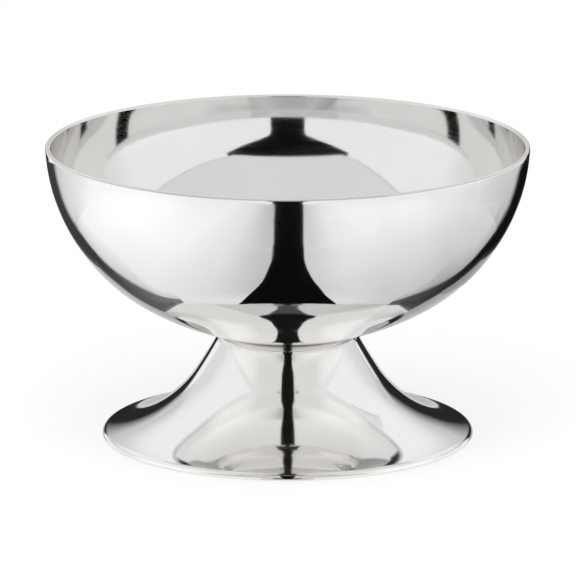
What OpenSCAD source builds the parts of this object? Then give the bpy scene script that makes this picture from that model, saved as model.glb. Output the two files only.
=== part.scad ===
// Footed sundae cup in mirror-polished stainless steel: a drawn bowl with a rounded lip, on a drawn
// trumpet foot whose dished top is spot welded under the bowl. Millimetres, +Z up, with the origin
// in the middle of the ring that the foot stands on.

/* [Bowl] */
// Diameter over the rim
rim_d = 95; // [88:0.5:105]
// Height of the rim above the table
cup_h = 58.3; // [56:0.1:66]
// Thickness of the bowl's sheet
bowl_t = 1; // [0.6:0.1:1.4]
// Radius of the bowl's side, on the outside
side_r = 37.4; // [34:0.1:40]
// Lean of the wall at the rim, from upright
rim_lean = 2.9; // [0:0.1:8]
// Lean of the wall where the side runs into the bottom, from upright
bottom_lean = 59.2; // [52:0.1:64]

/* [Foot] */
// Diameter over the turned-down edge
foot_d = 73.2; // [69:0.1:80]
// Thickness of the foot's sheet
foot_t = 0.8; // [0.5:0.05:1.2]
// Diameter of the dished seat under the bowl
seat_d = 23; // [19:0.1:26]
// Inside radius of the bend between the seat and the stem
shoulder_bend_r = 1.7; // [0.8:0.1:2.5]
// Slope of the stem's wall at its top, from the table
stem_slope = 60.2; // [56:0.1:66]
// Radius of the stem's slight hollow, on the outside
stem_r = 120; // [60:1:300]
// Radius of the flare between the stem and the edge, on the top side
flare_r = 26.6; // [22:0.1:30]
// Inside radius of the bend that turns the edge down
edge_bend_r = 0.3; // [0.2:0.05:0.8]
// Straight height of the edge between its bend and its broken corners
edge_drop = 0.1; // [0.05:0.05:1]
// Radius that breaks the two corners of the standing ring
ring_break_r = 0.15; // [0.05:0.05:0.24]

/* [Weld] */
// Number of spot welds
weld_count = 3; // [3:1:6]
// Diameter of the circle that the welds lie on
weld_circle_d = 13; // [10:0.5:14]
// Diameter of one weld nugget
nugget_d = 3.5; // [2:0.1:4]
// Depth of a nugget in the bowl's sheet
bowl_bite = 0.45; // [0.2:0.05:0.5]
// Depth of a nugget in the foot's sheet
foot_bite = 0.4; // [0.2:0.05:0.45]

/* [Hidden] */
$fn = 180;

// Sections are drawn as [radius, height]. A heading is the angle that the sheet runs at there, above
// outwards. These give the directions along it, to its left and to its right.
function ahead(heading) = [cos(heading), sin(heading)];
function left_of(heading) = [-sin(heading), cos(heading)];
function right_of(heading) = -left_of(heading);

// A length kept to a whole micron, so that stretches of sheet that meet end on the same point
function to_micron(length) = round(length * 1000) / 1000;

// Where two circles cross, on the left of the way from the first centre to the second
function left_crossing(centre_1, r_1, centre_2, r_2) =
    let (span = centre_2 - centre_1)
    let (along = (span * span + r_1 ^ 2 - r_2 ^ 2) / (2 * norm(span)))
    let (heading = atan2(span.y, span.x))
    centre_1 + along * ahead(heading) + sqrt(r_1 ^ 2 - along ^ 2) * left_of(heading);

// Bowl: the side is an arc whose centre lies off the axis, and the bottom is an arc about the axis.
// The two arcs share a tangent where they meet.
lip_r = bowl_t / 2;
lip_heading = 90 - rim_lean;
lip_centre = [rim_d / 2 - lip_r, cup_h - lip_r];
side_centre = lip_centre + (side_r - lip_r) * left_of(lip_heading);
bottom_r = to_micron(side_r + side_centre.x / cos(bottom_lean));
bottom_heading = asin(side_centre.x / (bottom_r - side_r));
bottom_centre = [0, side_centre.y + (bottom_r - side_r) * cos(bottom_heading)];

// Foot: the seat lies against the bowl's bottom, and the shoulder turns it down into the stem.
shoulder_r = shoulder_bend_r + foot_t;
seat_heading = asin(seat_d / 2 / bottom_r);
shoulder_centre = bottom_centre + (bottom_r + shoulder_r) * right_of(seat_heading);
stem_centre = shoulder_centre + (shoulder_r + stem_r) * left_of(-stem_slope);

// The flare runs on from the stem and touches the bend of the edge. In a low foot it is limited by its
// wall, so that the stem stays about as long as the shoulder's radius.
edge_r = edge_bend_r + foot_t;
edge_centre = [foot_d / 2 - edge_r, ring_break_r + edge_drop];
stem_span = shoulder_centre + shoulder_r * (left_of(-stem_slope) + ahead(-stem_slope)) - edge_centre;
flare_room = (stem_span * stem_span - edge_r ^ 2) / (2 * (edge_r - stem_span * left_of(-stem_slope)));
fitted_flare_r = min(flare_r, flare_room);
flare_centre = left_crossing(edge_centre, edge_r + fitted_flare_r, stem_centre, stem_r - fitted_flare_r);
flare_heading = -atan2((stem_centre - flare_centre).x, (stem_centre - flare_centre).y);
brim_heading = -atan2((flare_centre - edge_centre).x, (flare_centre - edge_centre).y);

weld_angle = asin(weld_circle_d / 2 / bottom_r);

// Cuts across the sheet, as [point, heading], where one stretch of it ends and the next begins
axis_cut = [[0, 0], 0];
bottom_cut = [side_centre, bottom_heading];
lip_cut = [lip_centre, lip_heading];
seat_cut = [shoulder_centre, seat_heading];
stem_cut = [shoulder_centre, -stem_slope];
flare_cut = [flare_centre, flare_heading];
brim_cut = [edge_centre, brim_heading];
drop_cut = [edge_centre, -90];

// Puts its children at a point, in whole microns first and then the rest
module at(point) {
    microns = [for (c = point) to_micron(c)];
    translate(microns)
        translate(point - microns)
            children();
}

// Everything ahead of a cut
module beyond(cut) {
    reach = rim_d + 2 * stem_r;
    translate(cut[0])
        rotate(cut[1])
            translate([0, -reach])
                square([reach, 2 * reach]);
}

// Everything behind a cut
module short_of(cut) {
    beyond([cut[0], cut[1] + 180]);
}

// Stretch of sheet that bends about a centre between two cuts
module bend(centre, r_in, r_out, from, to) {
    intersection() {
        at(centre)
            difference() {
                circle(r_out);
                circle(r_in);
            }
        beyond(from);
        short_of(to);
    }
}

// Full round that ends a sheet at a cut
module round_end(centre, r, from) {
    intersection() {
        at(centre)
            circle(r);
        beyond(from);
    }
}

// Quarter disc that fills the quadrant on one side of the Y axis, below the X axis
module corner_below(r, side) {
    intersection() {
        circle(r);
        translate([side < 0 ? -2 * r : 0, -2 * r])
            square(2 * r);
    }
}

// Section of the bowl: bottom, side and lip
module bowl_section() {
    bend(bottom_centre, bottom_r - bowl_t, bottom_r, axis_cut, bottom_cut);
    bend(side_centre, side_r - bowl_t, side_r, bottom_cut, lip_cut);
    round_end(lip_centre, lip_r, lip_cut);
}

// Section of the edge below its bend: a straight drop, then the standing ring with broken corners
module standing_ring_section() {
    inner_r = foot_d / 2 - foot_t;
    translate([inner_r, ring_break_r])
        square([foot_t, edge_drop]);
    translate([inner_r + ring_break_r, 0])
        square([foot_t - 2 * ring_break_r, ring_break_r]);
    translate([inner_r + ring_break_r, ring_break_r])
        corner_below(ring_break_r, -1);
    translate([foot_d / 2 - ring_break_r, ring_break_r])
        corner_below(ring_break_r, 1);
}

// Section of the foot: seat, shoulder, stem, flare, turned-down edge and standing ring
module foot_section() {
    bend(bottom_centre, bottom_r, bottom_r + foot_t, axis_cut, seat_cut);
    bend(shoulder_centre, shoulder_bend_r, shoulder_r, seat_cut, stem_cut);
    bend(stem_centre, stem_r, stem_r + foot_t, stem_cut, flare_cut);
    bend(flare_centre, fitted_flare_r, fitted_flare_r + foot_t, flare_cut, brim_cut);
    bend(edge_centre, edge_bend_r, edge_r, brim_cut, drop_cut);
    standing_ring_section();
}

// Spot welds through the seat, square to the bowl's bottom
module weld_spots() {
    for (i = [0 : weld_count - 1])
        rotate(i * 360 / weld_count)
            translate([0, 0, bottom_centre.y])
                rotate([0, -weld_angle, 0])
                    translate([0, 0, -bottom_r - foot_bite])
                        cylinder(h = foot_bite + bowl_bite, d = nugget_d);
}

// Drawn bowl, with the places in its underside where the welds melted into it
module bowl() {
    color("gainsboro")
        difference() {
            rotate_extrude()
                bowl_section();
            weld_spots();
        }
}

// Drawn trumpet foot, with the places in its seat where the welds melted into it
module foot() {
    color("silver")
        difference() {
            rotate_extrude()
                foot_section();
            weld_spots();
        }
}

// Melted metal that holds the two sheets together
module weld_nuggets() {
    color("darkgray")
        weld_spots();
}

bowl();
foot();
weld_nuggets();
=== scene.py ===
import math

import bpy
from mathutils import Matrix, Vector


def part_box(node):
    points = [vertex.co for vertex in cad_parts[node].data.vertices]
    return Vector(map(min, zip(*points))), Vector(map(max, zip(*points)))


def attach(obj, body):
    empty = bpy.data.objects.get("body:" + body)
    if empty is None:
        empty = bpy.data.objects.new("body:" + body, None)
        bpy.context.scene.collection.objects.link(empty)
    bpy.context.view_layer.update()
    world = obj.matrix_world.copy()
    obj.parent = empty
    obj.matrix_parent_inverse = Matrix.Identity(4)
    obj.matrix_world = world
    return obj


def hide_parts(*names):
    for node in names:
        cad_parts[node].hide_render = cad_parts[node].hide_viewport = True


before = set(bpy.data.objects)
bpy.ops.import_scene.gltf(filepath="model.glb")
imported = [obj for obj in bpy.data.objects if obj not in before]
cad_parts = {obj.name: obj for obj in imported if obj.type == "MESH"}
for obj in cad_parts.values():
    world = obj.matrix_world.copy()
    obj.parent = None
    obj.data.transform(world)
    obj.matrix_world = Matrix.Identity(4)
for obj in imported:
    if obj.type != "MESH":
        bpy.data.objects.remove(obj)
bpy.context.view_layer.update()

# Bowl
# One disc of stainless sheet, drawn into a deep round bowl. Its lip is ground to a full round, and the
# bowl is buffed to a mirror inside and out while it turns.
MM = 0.001
rim_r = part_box("bowl")[1][0]
cup_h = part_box("bowl")[1][2]
bowl_t = 1.0 * MM
side_r = 37.4 * MM
rim_lean = 2.9
bottom_lean = 59.2


def towards(angle):
    """Direction in a section, as [radius, height], at an angle in degrees above outwards."""
    return Vector((math.cos(math.radians(angle)), math.sin(math.radians(angle))))


def arc(centre, radius, start, end, faces, step=1.0):
    """Points of a section with their normals, along an arc that faces out of (1) or into (-1) its centre."""
    count = max(6, math.ceil(abs(end - start) / step))
    rays = [towards(start + (end - start) * i / count) for i in range(count + 1)]
    return [(centre + radius * ray, faces * ray) for ray in rays]


def turned(name, runs, turns=288):
    """A closed section that starts and ends on the axis, turned round it. Each run has a material slot."""
    on_axis = 1e-7
    section = [runs[0][0]]
    slots = []
    for slot, run in enumerate(runs):
        section += run[1:]
        slots += [slot] * (len(run) - 1)
    verts = []
    normals = []
    rings = []
    for point, normal in section:
        spokes = turns if point.x > on_axis else 1
        rings.append(range(len(verts), len(verts) + spokes))
        for spoke in range(spokes):
            turn = 2 * math.pi * spoke / turns
            verts.append((point.x * math.cos(turn), point.x * math.sin(turn), point.y))
            normals.append((normal.x * math.cos(turn), normal.x * math.sin(turn), normal.y))
    faces = []
    face_slots = []
    for low, high, slot in zip(rings, rings[1:], slots):
        for a in range(turns):
            b = (a + 1) % turns
            corners = [low[a % len(low)], high[a % len(high)], high[b % len(high)], low[b % len(low)]]
            faces.append(list(dict.fromkeys(corners)))
            face_slots.append(slot)
    mesh = bpy.data.meshes.new(name)
    mesh.from_pydata(verts, [], faces)
    mesh.polygons.foreach_set("material_index", face_slots)
    mesh.shade_smooth()
    mesh.normals_split_custom_set_from_vertices(normals)
    piece = bpy.data.objects.new(name, mesh)
    bpy.context.scene.collection.objects.link(piece)
    return piece


lip_r = bowl_t / 2
lip_centre = Vector((rim_r - lip_r, cup_h - lip_r))
side_centre = lip_centre - (side_r - lip_r) * towards(-rim_lean)
bottom_r = side_r + side_centre.x / math.cos(math.radians(bottom_lean))
bottom_centre = side_centre - (bottom_r - side_r) * towards(-bottom_lean)

bowl_section = arc(bottom_centre, bottom_r - bowl_t, -90, -bottom_lean, -1)
bowl_section += arc(side_centre, side_r - bowl_t, -bottom_lean, -rim_lean, -1)[1:]
bowl_section += arc(lip_centre, lip_r, 180 - rim_lean, -rim_lean, 1, step=9)[1:]
bowl_section += arc(side_centre, side_r, -rim_lean, -bottom_lean, 1)[1:]
bowl_section += arc(bottom_centre, bottom_r, -bottom_lean, -90, 1)[1:]
bowl = turned("bowl_sheet", [bowl_section])


def linear(hex_colour):
    """Linear RGBA of an sRGB hex colour."""
    channels = [int(hex_colour[i:i + 2], 16) / 255 for i in (1, 3, 5)]
    return [c / 12.92 if c <= 0.04045 else ((c + 0.055) / 1.055) ** 2.4 for c in channels] + [1.0]


def add_node(tree, kind, settings=None, links=None):
    """Adds a node. Settings are inputs, by name or number, or the node's own properties."""
    node = tree.nodes.new(kind)
    for key, value in (settings or {}).items():
        if isinstance(key, int) or key in node.inputs:
            node.inputs[key].default_value = value
        else:
            setattr(node, key, value)
    for key, source in (links or {}).items():
        tree.links.new(source, node.inputs[key])
    return node


def blank_material(name):
    """A material with only its output node, and that node."""
    material = bpy.data.materials.new(name)
    material.use_nodes = True
    material.node_tree.nodes.clear()
    return material, material.node_tree, material.node_tree.nodes.new("ShaderNodeOutputMaterial")


def buffed_steel(name, light, dark, rise):
    """Mirror-buffed 18/8 stainless steel: neutral bright metal with crisp reflections. Buffing lines run
    round the axis, a thin haze changes over some millimetres, and the drawn sheet is faintly wavy. In the
    distance across the lines, a step in height counts rise times as much as a step in radius."""
    line_spacing = 0.5 * MM  # real lines lie about 0.05 mm apart, too fine to show
    line_turns = 3.0
    haze_size = 14 * MM
    wave_size = 11 * MM
    wave_depth = 0.006 * MM
    line_smooth = 0.03
    line_rough = 0.07
    haze_rough = 0.03
    material, tree, output = blank_material(name)
    place = add_node(tree, "ShaderNodeTexCoord").outputs["Object"]
    flat = add_node(tree, "ShaderNodeVectorMath", {"operation": "MULTIPLY", 1: (1, 1, 0)}, {0: place})
    radius = add_node(tree, "ShaderNodeVectorMath", {"operation": "LENGTH"}, {0: flat.outputs["Vector"]})
    height = add_node(tree, "ShaderNodeSeparateXYZ", {}, {"Vector": place}).outputs["Z"]
    across = add_node(tree, "ShaderNodeMath", {"operation": "MULTIPLY_ADD", 1: rise},
                      {0: height, 2: radius.outputs["Value"]})
    line = add_node(tree, "ShaderNodeMath", {"operation": "DIVIDE", 1: line_spacing},
                    {0: across.outputs[0]})
    spoke = add_node(tree, "ShaderNodeVectorMath", {"operation": "NORMALIZE"}, {0: flat.outputs["Vector"]})
    along = add_node(tree, "ShaderNodeVectorMath", {"operation": "SCALE", "Scale": line_turns},
                     {0: spoke.outputs["Vector"]})
    lift = add_node(tree, "ShaderNodeCombineXYZ", {}, {"Z": line.outputs[0]})
    line_place = add_node(tree, "ShaderNodeVectorMath", {"operation": "ADD"},
                          {0: along.outputs["Vector"], 1: lift.outputs["Vector"]})
    lines = add_node(tree, "ShaderNodeTexNoise", {"Scale": 1.0, "Detail": 3.0},
                     {"Vector": line_place.outputs["Vector"]})
    haze = add_node(tree, "ShaderNodeTexNoise", {"Scale": 1 / haze_size, "Detail": 3.0}, {"Vector": place})
    waves = add_node(tree, "ShaderNodeTexNoise", {"Scale": 1 / wave_size, "Detail": 0.0}, {"Vector": place})
    line_gloss = add_node(tree, "ShaderNodeMapRange",
                          {"From Min": 0.3, "From Max": 0.7, "To Min": line_smooth, "To Max": line_rough},
                          {"Value": lines.outputs["Fac"]})
    gloss = add_node(tree, "ShaderNodeMath", {"operation": "MULTIPLY_ADD", 1: haze_rough},
                     {0: haze.outputs["Fac"], 2: line_gloss.outputs["Result"]})
    tone = add_node(tree, "ShaderNodeValToRGB", {}, {"Fac": haze.outputs["Fac"]})
    tone.color_ramp.elements[0].position = 0.3
    tone.color_ramp.elements[0].color = linear(dark)
    tone.color_ramp.elements[1].position = 0.7
    tone.color_ramp.elements[1].color = linear(light)
    bump = add_node(tree, "ShaderNodeBump", {"Strength": 1.0, "Distance": wave_depth},
                    {"Height": waves.outputs["Fac"]})
    steel = add_node(tree, "ShaderNodeBsdfPrincipled", {"Metallic": 1.0},
                     {"Base Color": tone.outputs["Color"], "Roughness": gloss.outputs[0],
                      "Normal": bump.outputs["Normal"]})
    tree.links.new(steel.outputs["BSDF"], output.inputs["Surface"])
    return material


bowl.data.materials.append(buffed_steel("bowl mirror-buffed stainless steel", "#E9E8E6", "#E5E4E2", 1.0))
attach(bowl, "root")
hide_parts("bowl")

# Foot
# A second disc of sheet, drawn into a trumpet: a dished seat under the bowl, a shoulder, a steep stem, a
# wide flare and an edge turned down to stand on. Only its outside is buffed; the hollow stays as drawn.
foot_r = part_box("foot")[1][0]
foot_t = 0.8 * MM
seat_r = 11.5 * MM
shoulder_bend_r = 1.7 * MM
stem_slope = 60.2
stem_r = 120 * MM
flare_r = 26.6 * MM
edge_bend_r = 0.3 * MM
edge_drop = 0.1 * MM
ring_break_r = 0.15 * MM


def left_crossing(centre_1, r_1, centre_2, r_2):
    """Where two circles cross, on the left of the way from the first centre to the second."""
    span = centre_2 - centre_1
    along = (span.length_squared + r_1 ** 2 - r_2 ** 2) / (2 * span.length)
    aside = math.sqrt(r_1 ** 2 - along ** 2)
    ahead = span.normalized()
    return centre_1 + along * ahead + aside * Vector((-ahead.y, ahead.x))


def angle_of(span):
    """Angle of a direction in a section, in degrees above outwards."""
    return math.degrees(math.atan2(span.y, span.x))


shoulder_r = shoulder_bend_r + foot_t
seat_angle = math.degrees(math.asin(seat_r / bottom_r)) - 90
shoulder_centre = bottom_centre + (bottom_r + shoulder_r) * towards(seat_angle)
stem_angle = 90 - stem_slope
stem_centre = shoulder_centre + (shoulder_r + stem_r) * towards(stem_angle)
edge_r = edge_bend_r + foot_t
edge_centre = Vector((foot_r - edge_r, ring_break_r + edge_drop))
flare_centre = left_crossing(edge_centre, edge_r + flare_r, stem_centre, stem_r - flare_r)
flare_angle = angle_of(flare_centre - stem_centre)
brim_angle = angle_of(flare_centre - edge_centre)
outer_corner = Vector((foot_r - ring_break_r, ring_break_r))
inner_corner = Vector((foot_r - foot_t + ring_break_r, ring_break_r))

foot_outside = arc(bottom_centre, bottom_r, -90, seat_angle, -1)
foot_outside += arc(shoulder_centre, shoulder_r, seat_angle + 180, stem_angle, 1, step=4)[1:]
foot_outside += arc(stem_centre, stem_r, stem_angle - 180, flare_angle, -1, step=0.25)[1:]
foot_outside += arc(flare_centre, flare_r, flare_angle, brim_angle - 180, -1)[1:]
foot_outside += arc(edge_centre, edge_r, brim_angle, 0, 1, step=6)[1:]
foot_outside += arc(outer_corner, ring_break_r, 0, -90, 1, step=15)
foot_hollow = foot_outside[-1:]
foot_hollow += arc(inner_corner, ring_break_r, -90, -180, 1, step=15)
foot_hollow += arc(edge_centre, edge_bend_r, 0, brim_angle, -1, step=12)
foot_hollow += arc(flare_centre, flare_r + foot_t, brim_angle - 180, flare_angle, 1)[1:]
foot_hollow += arc(stem_centre, stem_r + foot_t, flare_angle, stem_angle - 180, 1, step=0.25)[1:]
foot_hollow += arc(shoulder_centre, shoulder_bend_r, stem_angle, seat_angle + 180, -1, step=4)[1:]
foot_hollow += arc(bottom_centre, bottom_r + foot_t, seat_angle, -90, 1)[1:]
foot = turned("foot_sheet", [foot_outside, foot_hollow])
# The foot is given lighter tones than the bowl, though it is the same buffed steel: painted light, which
# brightens what the foot mirrors by way of the bowl.
foot.data.materials.append(buffed_steel("foot mirror-buffed stainless steel", "#EFEEEC", "#EBEAE8", -1.0))

weld_count = 3
weld_circle_r = 6.5 * MM
electrode_r = 2.4 * MM


def drawn_steel(name):
    """Stainless sheet as it left the press, unbuffed: a grey satin with fine draw lines towards the edge.
    Each spot weld left a round electrode mark, darker and straw-coloured from the heat."""
    grain_size = 0.6 * MM  # real draw lines are finer, and would not show
    grain_depth = 0.02 * MM
    grain_smooth = 0.24
    grain_rough = 0.4
    cloud_size = 9 * MM
    burn_share = 0.75
    material, tree, output = blank_material(name)
    place = add_node(tree, "ShaderNodeTexCoord").outputs["Object"]
    flat = add_node(tree, "ShaderNodeVectorMath", {"operation": "MULTIPLY", 1: (1, 1, 0)}, {0: place})
    spoke = add_node(tree, "ShaderNodeVectorMath", {"operation": "NORMALIZE"}, {0: place})
    grain = add_node(tree, "ShaderNodeTexNoise", {"Scale": seat_r / grain_size, "Detail": 4.0},
                     {"Vector": spoke.outputs["Vector"]})
    cloud = add_node(tree, "ShaderNodeTexNoise", {"Scale": 1 / cloud_size, "Detail": 2.0}, {"Vector": place})
    gloss = add_node(tree, "ShaderNodeMapRange",
                     {"From Min": 0.3, "From Max": 0.7, "To Min": grain_smooth, "To Max": grain_rough},
                     {"Value": grain.outputs["Fac"]})
    tone = add_node(tree, "ShaderNodeValToRGB", {}, {"Fac": cloud.outputs["Fac"]})
    tone.color_ramp.elements[0].position = 0.3
    tone.color_ramp.elements[0].color = linear("#B9B7B2")
    tone.color_ramp.elements[1].position = 0.7
    tone.color_ramp.elements[1].color = linear("#C9C7C3")
    colour = tone.outputs["Color"]
    for weld in range(weld_count):
        turn = 2 * math.pi * weld / weld_count
        spot = (weld_circle_r * math.cos(turn), weld_circle_r * math.sin(turn), 0)
        reach = add_node(tree, "ShaderNodeVectorMath", {"operation": "DISTANCE", 1: spot},
                         {0: flat.outputs["Vector"]})
        mark = add_node(tree, "ShaderNodeMapRange",
                        {"From Min": electrode_r, "From Max": 0.7 * electrode_r, "To Max": burn_share},
                        {"Value": reach.outputs["Value"]})
        burn = add_node(tree, "ShaderNodeMix", {"data_type": "RGBA", "B": linear("#9A8A6C")},
                        {"Factor": mark.outputs["Result"], "A": colour})
        colour = burn.outputs["Result"]
    bump = add_node(tree, "ShaderNodeBump", {"Strength": 0.3, "Distance": grain_depth},
                    {"Height": grain.outputs["Fac"]})
    steel = add_node(tree, "ShaderNodeBsdfPrincipled", {"Metallic": 1.0},
                     {"Base Color": colour, "Roughness": gloss.outputs["Result"],
                      "Normal": bump.outputs["Normal"]})
    tree.links.new(steel.outputs["BSDF"], output.inputs["Surface"])
    return material


foot.data.materials.append(drawn_steel("foot drawn stainless steel"))
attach(foot, "root")
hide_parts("foot")

# Weld nuggets
# Three spot welds hold the foot's seat to the bowl's bottom. Each is a lens of melted and set steel
# between the two sheets, where it doesn't show, so the solid from the frame stays as it is.
nugget_grain = 0.4 * MM
nugget_grain_depth = 0.05 * MM


def cast_nugget(name):
    """Melted and set stainless steel: dull grey, with coarse grain and a straw tint from the heat."""
    material, tree, output = blank_material(name)
    place = add_node(tree, "ShaderNodeTexCoord").outputs["Object"]
    grain = add_node(tree, "ShaderNodeTexNoise", {"Scale": 1 / nugget_grain, "Detail": 4.0},
                     {"Vector": place})
    tone = add_node(tree, "ShaderNodeValToRGB", {}, {"Fac": grain.outputs["Fac"]})
    tone.color_ramp.elements[0].color = linear("#8F8778")
    tone.color_ramp.elements[1].color = linear("#BDB9B0")
    gloss = add_node(tree, "ShaderNodeMapRange", {"To Min": 0.4, "To Max": 0.6},
                     {"Value": grain.outputs["Fac"]})
    bump = add_node(tree, "ShaderNodeBump", {"Strength": 0.4, "Distance": nugget_grain_depth},
                    {"Height": grain.outputs["Fac"]})
    steel = add_node(tree, "ShaderNodeBsdfPrincipled", {"Metallic": 1.0},
                     {"Base Color": tone.outputs["Color"], "Roughness": gloss.outputs["Result"],
                      "Normal": bump.outputs["Normal"]})
    tree.links.new(steel.outputs["BSDF"], output.inputs["Surface"])
    return material


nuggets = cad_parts["weld_nuggets"]
nuggets.data.materials.clear()
nuggets.data.materials.append(cast_nugget("weld nugget set stainless steel"))

# Floor and light
# A plain white floor that takes the cup's shadow, under an even white sky. Two small soft lamps, left and
# right in front of the cup, brighten the floor there a little more.
floor_reach = 6.0
floor_white = 0.65
lamp_size = 80 * MM
lamp_height = 110 * MM
lamp_power = 0.07
lamp_places = {"left": (-150 * MM, -50 * MM), "right": (125 * MM, -90 * MM)}


def flat_piece(name, verts, faces):
    """A stage piece from its points and faces."""
    mesh = bpy.data.meshes.new(name)
    mesh.from_pydata(verts, [], faces)
    piece = bpy.data.objects.new(name, mesh)
    bpy.context.scene.collection.objects.link(piece)
    return piece


floor_corners = [(x * floor_reach, y * floor_reach, 0) for x, y in ((-1, -1), (1, -1), (1, 1), (-1, 1))]
floor = flat_piece("floor", floor_corners, [(0, 1, 2, 3)])

# Matt white paper, which glows by what it doesn't reflect: it looks white and still takes a soft shadow
material, tree, output = blank_material("white paper floor")
paper = add_node(tree, "ShaderNodeBsdfDiffuse", {"Color": (floor_white, floor_white, floor_white, 1.0)})
glow = add_node(tree, "ShaderNodeEmission", {"Strength": 1 - floor_white})
both = add_node(tree, "ShaderNodeAddShader", {}, {0: paper.outputs["BSDF"], 1: glow.outputs["Emission"]})
tree.links.new(both.outputs["Shader"], output.inputs["Surface"])
floor.data.materials.append(material)

world = bpy.data.worlds.new("white sky")
bpy.context.scene.world = world
world.use_nodes = True
world.node_tree.nodes.clear()
sky = add_node(world.node_tree, "ShaderNodeBackground", {"Color": (1.0, 1.0, 1.0, 1.0), "Strength": 1.0})
add_node(world.node_tree, "ShaderNodeOutputWorld", {}, {"Surface": sky.outputs["Background"]})

for name, (x, y) in lamp_places.items():
    lamp = bpy.data.lights.new("lamp_" + name, "AREA")
    lamp.size = lamp_size
    lamp.energy = lamp_power
    lamp_object = bpy.data.objects.new("lamp_" + name, lamp)
    lamp_object.location = (x, y, lamp_height)
    lamp_object.visible_glossy = False
    bpy.context.scene.collection.objects.link(lamp_object)

# Cards
# A mirror shows its room, so black, grey and light cards stand round the cup: in front, overhead, behind, at
# the sides and on the table. They are painted studio cards that only the metal sees, no part of the cup.
black = 0.004


def card(name, rows, brightness, one_sided=False):
    """A card of rows of points, each [point, cover], that fades out where its cover goes to 0. A one-sided
    card shows only to an eye that sees each next row on the left of the way along the row before."""
    width = len(rows[0])
    faces = []
    for i in range(len(rows) - 1):
        for j in range(width - 1):
            a = i * width + j
            faces.append((a, a + 1, a + width + 1, a + width))
    piece = flat_piece(name, [point for row in rows for point, share in row], faces)
    cover = piece.data.attributes.new("cover", "FLOAT", "POINT")
    cover.data.foreach_set("value", [share for row in rows for point, share in row])
    piece.visible_camera = False
    piece.visible_diffuse = False
    piece.visible_transmission = False
    piece.visible_shadow = False
    # Even matt paint, which the metal mirrors as a plain patch of one tone
    paint, paint_tree, paint_output = blank_material(name + " painted card")
    share = add_node(paint_tree, "ShaderNodeAttribute", {"attribute_name": "cover"}).outputs["Fac"]
    if one_sided:
        back = add_node(paint_tree, "ShaderNodeNewGeometry").outputs["Backfacing"]
        front = add_node(paint_tree, "ShaderNodeMath", {"operation": "SUBTRACT", 0: 1.0}, {1: back})
        share = add_node(paint_tree, "ShaderNodeMath", {"operation": "MULTIPLY"},
                         {0: share, 1: front.outputs[0]}).outputs[0]
    clear = add_node(paint_tree, "ShaderNodeBsdfTransparent")
    tone = add_node(paint_tree, "ShaderNodeEmission", {"Strength": brightness})
    mixed = add_node(paint_tree, "ShaderNodeMixShader", {},
                     {0: share, 1: clear.outputs["BSDF"], 2: tone.outputs["Emission"]})
    paint_tree.links.new(mixed.outputs["Shader"], paint_output.inputs["Surface"])
    piece.data.materials.append(paint)


def round_point(azimuth, height, radius):
    """A point at an azimuth in degrees to the right of the front, at a height and a radius."""
    turn = math.radians(azimuth)
    return (radius * math.sin(turn), -radius * math.cos(turn), height)


def spread(low, high, count):
    """Even steps from low to high."""
    return [low + (high - low) * i / count for i in range(count + 1)]


# The front card stands far off. Seen from inside the bowl it is a post that opens into a funnel. Its steps
# are [rise, half width], in degrees seen from the axis at far_h.
far_r = 800 * MM
far_h = 45 * MM
front_steps = ((5, 8.65), (16, 8.65), (18, 9.2), (19, 10), (21.5, 16), (24, 24), (27.5, 34), (40, 34))
front_rows = []
for rise, half in front_steps:
    height = far_h + far_r * math.tan(math.radians(rise))
    front_rows.append([(round_point(azimuth, height, far_r), 1.0) for azimuth in spread(-half, half, 24)])
card("front_card", front_rows, black)

# The post stands nearer, lower than the rim, and the runner lies between it and the foot. The runner is a
# black
# strip on the table, a painted reflection: the dark gap in front, as a mirroring table would show it. The
# post's steps are [height, half width], and the runner's are [depth in front of the axis, width to the left
# and right].
post_front = -200 * MM
post_steps = ((0, 21.5), (8, 23), (24, 30), (58, 30))
post_rows = []
for height, half in post_steps:
    post_rows.append([((x * MM, post_front, height * MM), 1.0) for x in (-half, half)])
card("lens_post", post_rows, black)

gap_reflection_h = 0.3 * MM
gap_reflection_steps = ((24, 4.4, 4.4), (40, 5.6, 5.6), (60, 8, 8), (80, 9.2, 9.6), (96, 9.6, 10.8),
                (116, 11.4, 13.0), (144, 14.2, 16.3), (164, 15.6, 18.7), (200, 19.5, 22.8))
gap_reflection_rows = []
for depth, left, right in gap_reflection_steps:
    gap_reflection_rows.append([((x * MM, -depth * MM, gap_reflection_h), 1.0) for x in (-left, 0, right)])
card("table_gap_reflection", gap_reflection_rows, black)

# Near the cup the runner, the painted reflection of the gap, flares, on a raised card that only the bowl
# sees, from above.
raised_h = 29 * MM
raised_gap = 0.2 * MM
raised_across = 0.6
raised_along = 0.476
raised_shift = 21 * MM
foot_clear_r = 37


def lifted(x, y, height):
    """A point of the table, moved up the line along which the bowl sees it, clear of what the foot sees."""
    return (raised_across * x, raised_along * y - raised_shift, height)


flare_steps = ((90, 8.3, 10.1), (80, 8.0, 9.3), (74, 8.3, 9.0), (68, 8.9, 9.1), (62, 9.6, 9.7),
               (56, 10.3, 10.6), (51, 11.2, 11.7), (46, 12.9, 13.3), (40, 15.2, 14.8), (34, 17.3, 17.3),
               (32, 18, 18))
flare_rows = []
for depth, left, right in flare_steps:
    row = []
    for x in spread(-left, right, 8):
        clear_depth = max(depth, math.sqrt(foot_clear_r ** 2 - x ** 2))
        row.append((lifted(x * MM, -clear_depth * MM, raised_h + raised_gap), 1.0))
    flare_rows.append(row)
card("gap_reflection_flare", flare_rows, black, one_sided=True)

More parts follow.
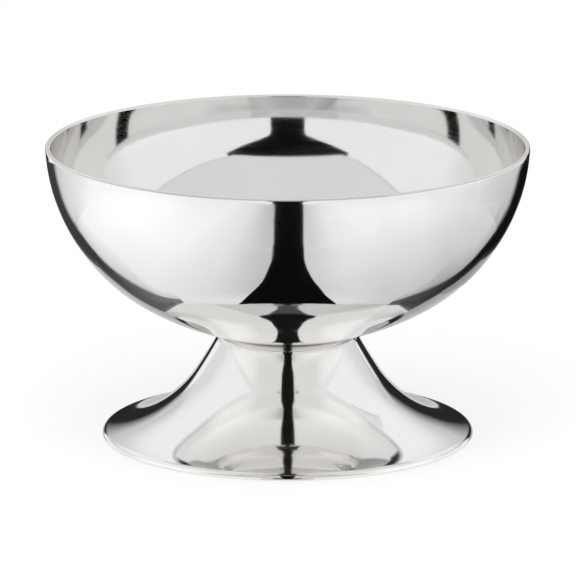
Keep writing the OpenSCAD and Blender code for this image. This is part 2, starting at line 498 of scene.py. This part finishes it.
# Shade beside the runner, as [distance from the runner, cover]. Its far part lies on the table, and its near
# part is raised. The two lap, and each fades out where the other takes over.
shade_tone = 0.35
shade_h = 0.2 * MM
shade_left = ((0, 0.55), (20, 0.2), (50, 0.0))
shade_right = ((0, 0.42), (16, 0.14), (44, 0.0))
shade_clear = ((foot_clear_r, 0.0), (foot_clear_r + 8, 1.0))
shade_half = 80 * MM
shade_far = 200 * MM
shade_join = 80 * MM
shade_lap = 10 * MM
shade_back = -10 * MM
shade_back_fade = 40 * MM
gap_reflection_half = 6 * MM
gap_reflection_spread = 0.108


def graded(steps, place):
    """A value from rising steps of [place, value], graded evenly between them and level past both ends."""
    if place <= steps[0][0]:
        return steps[0][1]
    for (start, first), (end, last) in zip(steps, steps[1:]):
        if place <= end:
            return first + (last - first) * (place - start) / (end - start)
    return steps[-1][1]


def shade_cover(x, depth):
    """How much shade lies on the table beside the runner, none of it on the foot."""
    beside = abs(x) - gap_reflection_half - gap_reflection_spread * depth
    cover = graded(shade_left if x < 0 else shade_right, beside / MM)
    return cover * graded(shade_clear, math.hypot(x, depth) / MM)


far_rows = []
for depth in spread(shade_far, shade_join, 24):
    fade = min((depth - shade_join) / shade_lap, 1.0)
    row = []
    for x in spread(-shade_half, shade_half, 40):
        row.append(((x, -depth, shade_h), shade_cover(x, depth) * fade))
    far_rows.append(row)
card("shade_beside_gap_reflection", far_rows, shade_tone, one_sided=True)
near_rows = []
for depth in spread(shade_join + shade_lap, shade_back, 25):
    front_fade = (shade_join + shade_lap - depth) / shade_lap
    back_fade = max((depth - shade_back) / shade_back_fade, 0.0)
    fade = min(front_fade, back_fade, 1.0)
    row = []
    for x in spread(-shade_half, shade_half, 40):
        row.append((lifted(x, -depth, raised_h), shade_cover(x, depth) * fade))
    near_rows.append(row)
card("flare_shade", near_rows, shade_tone, one_sided=True)

# A hood over the runner, with a greyer notch near the cup and a white sheet on top. The bottom of the bowl
# sees them by way of the foot. The steps are [depth in front of the axis, half width].
hood_h = 48.5
hood_slope = 0.1
hood_steps = ((66, 37), (68, 38), (74, 37), (80, 34), (88, 32), (96, 32), (106, 33), (120, 36), (135, 38),
              (150, 39.5), (170, 43), (190, 47), (220, 54), (240, 58))
notch_steps = ((49, 10), (52, 8.5), (55, 9), (58, 12), (61, 15.5), (64, 20), (66, 24))
sheet_steps = ((66, 90), (240, 90))
hood_cards = (("hood", hood_steps, 0, black), ("hood_notch", notch_steps, 0, 0.085),
              ("hood_sheet", sheet_steps, 0.6, 1.0))
for name, steps, lift, brightness in hood_cards:
    rows = []
    for depth, half in steps:
        height = hood_h + hood_slope * depth + lift
        rows.append([((x * MM, -depth * MM, height * MM), 1.0) for x in (-half, half)])
    card(name, rows, brightness, one_sided=True)

# A light grey card close to the foot's front edge, on each side of the runner, which only that edge sees
edge_card_h = 4 * MM
edge_card_depths = (37.5, 52)
edge_card_steps = ((1.7, 1.0), (24, 1.0), (34, 0.0))
for name, side in (("left", -1), ("right", 1)):
    rows = []
    for depth in edge_card_depths:
        row = [((side * x * MM, -depth * MM, edge_card_h), cover) for x, cover in edge_card_steps]
        rows.append(row[::side])
    card("edge_card_" + name, rows, 0.65, one_sided=True)

# A light grey ceiling with a darker edge, in steps of [depth behind the axis, left end, right end]
ceiling_h = 160
ceiling_steps = ((-144, -92, 92), (-128, -102, 108), (-110, -109, 122), (-90, -113, 132), (-60, -115, 142),
                 (0, -115, 150), (100, -115, 155))
for name, margin, lift, brightness in (("ceiling", 0, 0, 0.82), ("ceiling_edge", 6, 1, 0.68)):
    rows = []
    for y, left, right in ceiling_steps:
        ends = (left - margin, right + margin)
        rows.append([((x * MM, y * MM, (ceiling_h + lift) * MM), 1.0) for x in ends])
    card(name, rows, brightness)

# A low dark strip behind, higher on the right, in steps of [azimuth, cover, full height, height where it has
# faded out]
back_r = 200 * MM
back_steps = ((137, 0, 52, 80), (141, 1, 52, 80), (152, 1, 46, 76), (157, 1, 40, 72), (207, 1, 38, 66),
              (211, 1, 34, 58), (215, 0, 32, 54))
back_rows = [[], [], []]
for azimuth, cover, full, top in back_steps:
    back_rows[0].append((round_point(azimuth, 0, back_r), cover))
    back_rows[1].append((round_point(azimuth, full * MM, back_r), cover))
    back_rows[2].append((round_point(azimuth, top * MM, back_r), 0.0))
card("back_strip", back_rows, 0.02)

# A lighter wall far behind it, as wide as half the room, which fades upwards and to the sides
wall_rises = ((7, 0.0), (9, 1.0), (18, 1.0), (20, 0.8), (22, 0.55), (24, 0.36), (26, 0.2), (30, 0.05),
              (34, 0.0))
wall_turns = ((92, 0.0), (105, 0.35), (118, 0.5), (130, 0.6), (136, 1.0), (214, 1.0), (220, 0.6), (230, 0.5),
              (242, 0.5), (255, 0.35), (268, 0.0))
wall_rows = []
for rise, share in wall_rises:
    height = far_h + far_r * math.tan(math.radians(rise))
    row = []
    for (start, start_cover), (end, end_cover) in zip(wall_turns, wall_turns[1:]):
        for step in spread(0, 1, 20):
            cover = start_cover + step * (end_cover - start_cover)
            row.append((round_point(start + step * (end - start), height, far_r), share * cover))
    wall_rows.append(row)
card("back_wall", wall_rows, 0.66)

# A grey strip just over the rim, lower towards the back and darker in front, is what the wall of the bowl
# shows under its lip.
strip_low = 58.6
strip_high = 64.6
strip_high_least = 58.8
strip_fall = 0.07
strip_fall_start = 75
rim_strips = (("rim_strip", -180, 180, 51, 0.74), ("rim_strip_front", -36, 26, 50.8, 0.60))
for name, start, end, radius, brightness in rim_strips:
    rows = [[], []]
    for azimuth in spread(start, end, 180):
        fall = strip_fall * max(abs(azimuth) - strip_fall_start, 0)
        top = max(strip_high - fall, strip_high_least)
        rows[0].append((round_point(azimuth, strip_low * MM, radius * MM), 1.0))
        rows[1].append((round_point(azimuth, top * MM, radius * MM), 1.0))
    card(name, rows, brightness)

# A small grey card over the front of the mouth, with darker parts just under it, which only the top of the
# wall sees, by way of its front
mouth_h = 60
mouth_dark_h = 59.9
mouth_depths = (34, 20)
mouth_ends = (8.6, -10.9)
mouth_steps = ((8.6, 0.2), (5.5, 0.0), (0.5, 0.6), (-3.5, 0.55), (-6.5, 0.2), (-9.3, 0.9), (-10.9, 0.9))
mouth_rows = []
dark_rows = []
for depth in mouth_depths:
    mouth_rows.append([((x * MM, -depth * MM, mouth_h * MM), 1.0) for x in mouth_ends])
    dark_rows.append([((x * MM, -depth * MM, mouth_dark_h * MM), cover) for x, cover in mouth_steps])
card("mouth_card", mouth_rows, 0.76)
card("mouth_card_dark", dark_rows, 0.5)

# Lit side walls, a little brighter than the room, which fade out upwards and to their ends
side_wall_heights = ((0, 0.6), (20, 1.0), (65, 1.0), (95, 0.0))
side_wall_shares = (0.0, 0.7, 1.0, 1.0, 1.0, 0.7, 0.0)
for name, start, end in (("left", -105, -40), ("right", 40, 105)):
    rows = []
    for height, cover in side_wall_heights:
        row = []
        for azimuth, share in zip(spread(start, end, 6), side_wall_shares):
            row.append((round_point(azimuth, height * MM, back_r), share * cover))
        rows.append(row)
    card("side_wall_" + name, rows, 1.2)

# Shade on the table behind the cup, left and right, in steps of [depth behind the axis, where it begins to
# fade, where it has faded out]. Towards the middle it is fainter, and beside the foot only its edge is left.
table_shade_h = 0.4 * MM
shade_cover_most = 0.6
left_shade = ((-8, 36.7, 38), (0, 36.7, 40), (5, 38, 42), (15, 38, 45), (25, 42, 50), (37, 53, 60),
              (52, 60, 68), (90, 74, 84), (145, 88, 105), (180, 103, 119))
right_shade = ((-8, 36.7, 38), (0, 36.7, 41), (10, 42, 46), (20, 50, 54), (37, 59, 65), (52, 66, 73),
               (90, 82, 91), (145, 96, 112), (180, 108, 124))
for name, side, steps, brightness in (("left", -1, left_shade, 0.12), ("right", 1, right_shade, 0.03)):
    rows = []
    for depth, inner, outer in steps:
        grey = 0.0 if depth < 5 else 1 - depth / 220
        covers = ((0, 0.42 * grey), (0.75 * inner, shade_cover_most * grey), (inner, shade_cover_most),
                  (outer, 0.0))
        row = [((side * x * MM, depth * MM, table_shade_h), cover) for x, cover in covers]
        rows.append(row[::side])
    card("table_shade_" + name, rows, brightness, one_sided=True)

# A dark band to each side of the cup is a painted reflection of the dark gap behind, as a mirroring table
# would show it, with painted shade fading out along its outer edge. It is fainter towards the front, on a
# raised card that only the bowl sees from above. The steps are [inner point, outer point], and the covers
# are [share of the way out, cover].
band_h = raised_h + 2 * raised_gap
band_gain = 0.037
band_covers = ((0, 0.85), (0.3, 1.0), (0.88, 1.0), (1.12, 0.3), (1.5, 0.2), (2.1, 0.1), (2.8, 0.0))
left_band = (((22.0, -29.4), (23.2, -29.6)), ((23.0, -27.3), (26.2, -26.6)), ((23.8, -23.3), (31.0, -22.8)),
             ((24.2, -21.9), (33.6, -20.5)), ((26.2, -20.2), (38.8, -15.5)), ((28.5, -18.0), (43.9, -9.9)),
             ((36.4, -9.8), (50.2, -3.1)), ((41.5, -1.9), (56.7, 5.3)), ((46, 20), (61, 11)),
             ((50, 45), (70.5, 28)), ((55, 70), (82.5, 45.5)), ((60, 95), (96, 66)), ((62, 112), (105, 80)))
right_band = (((21.0, -29.5), (22.4, -29.5)), ((23.0, -27.3), (27.0, -26.6)), ((23.8, -23.2), (32.2, -22.4)),
              ((28.0, -20.4), (36.8, -17.7)), ((33.5, -15.8), (41.8, -12.3)), ((39.9, -7.7), (50.8, -3.1)),
              ((44.6, 0.2), (57.7, 5.8)), ((46, 20), (61, 9)), ((50, 45), (72, 26)), ((55, 70), (84.5, 43)),
              ((58, 92), (98.5, 64)), ((62, 112), (103, 82)))
bands = (("left", -1, left_band, 0.05, 0.78), ("right", 1, right_band, 0.006, 0.83))
for name, side, steps, brightness, front_strength in bands:
    rows = []
    for place, (inner, outer) in enumerate(steps):
        strength = min(front_strength + band_gain * place, 1.0)
        row = []
        for share, cover in band_covers:
            x = inner[0] + share * (outer[0] - inner[0])
            y = inner[1] + share * (outer[1] - inner[1])
            row.append(((side * x * MM, y * MM, band_h), cover * strength))
        rows.append(row[::side])
    card("side_gap_reflection_" + name, rows, brightness, one_sided=True)

# Fainter shade on the right, raised as well, in steps of [azimuth, share] and of [radius, cover]
side_shade_h = raised_h - 2 * raised_gap
side_turns = ((10, 0.0), (35, 0.6), (60, 1.0), (85, 1.0), (108, 0.8), (128, 0.0))
side_radii = ((36, 0.48), (46, 0.42), (61, 0.34), (87, 0.25), (135, 0.18), (180, 0.0))
side_rows = []
for azimuth, share in side_turns:
    row = []
    for radius, cover in side_radii:
        row.append((round_point(azimuth, side_shade_h, radius * MM), share * cover))
    side_rows.append(row)
card("side_shade", side_rows, 0.2, one_sided=True)

# Camera
# The view of the photograph: a long lens, well away from the cup and a little above the rim. Light may
# bounce often enough to find its way out of the narrow joint between bowl and foot.
image_width = 576
lens_pixels = 7109
shift_right_pixels = 0.3
shift_up_pixels = 0.5
camera_height_angle = 13.70
camera_distance = 1.4
aim_height = 29.305 * MM
light_bounces = 16
rise = math.radians(camera_height_angle)
camera_data = bpy.data.cameras.new("camera")
camera_data.sensor_width = 36
camera_data.lens = lens_pixels / image_width * camera_data.sensor_width
camera_data.shift_x = shift_right_pixels / image_width
camera_data.shift_y = shift_up_pixels / image_width
camera = bpy.data.objects.new("camera", camera_data)
camera.location = (0, -camera_distance * math.cos(rise), aim_height + camera_distance * math.sin(rise))
camera.rotation_euler = (math.pi / 2 - rise, 0, 0)
bpy.context.scene.collection.objects.link(camera)
bpy.context.scene.camera = camera
bpy.context.scene.view_settings.view_transform = "Standard"
bpy.context.scene.cycles.max_bounces = light_bounces
bpy.context.scene.cycles.glossy_bounces = light_bounces
bpy.context.scene.cycles.transparent_max_bounces = light_bounces
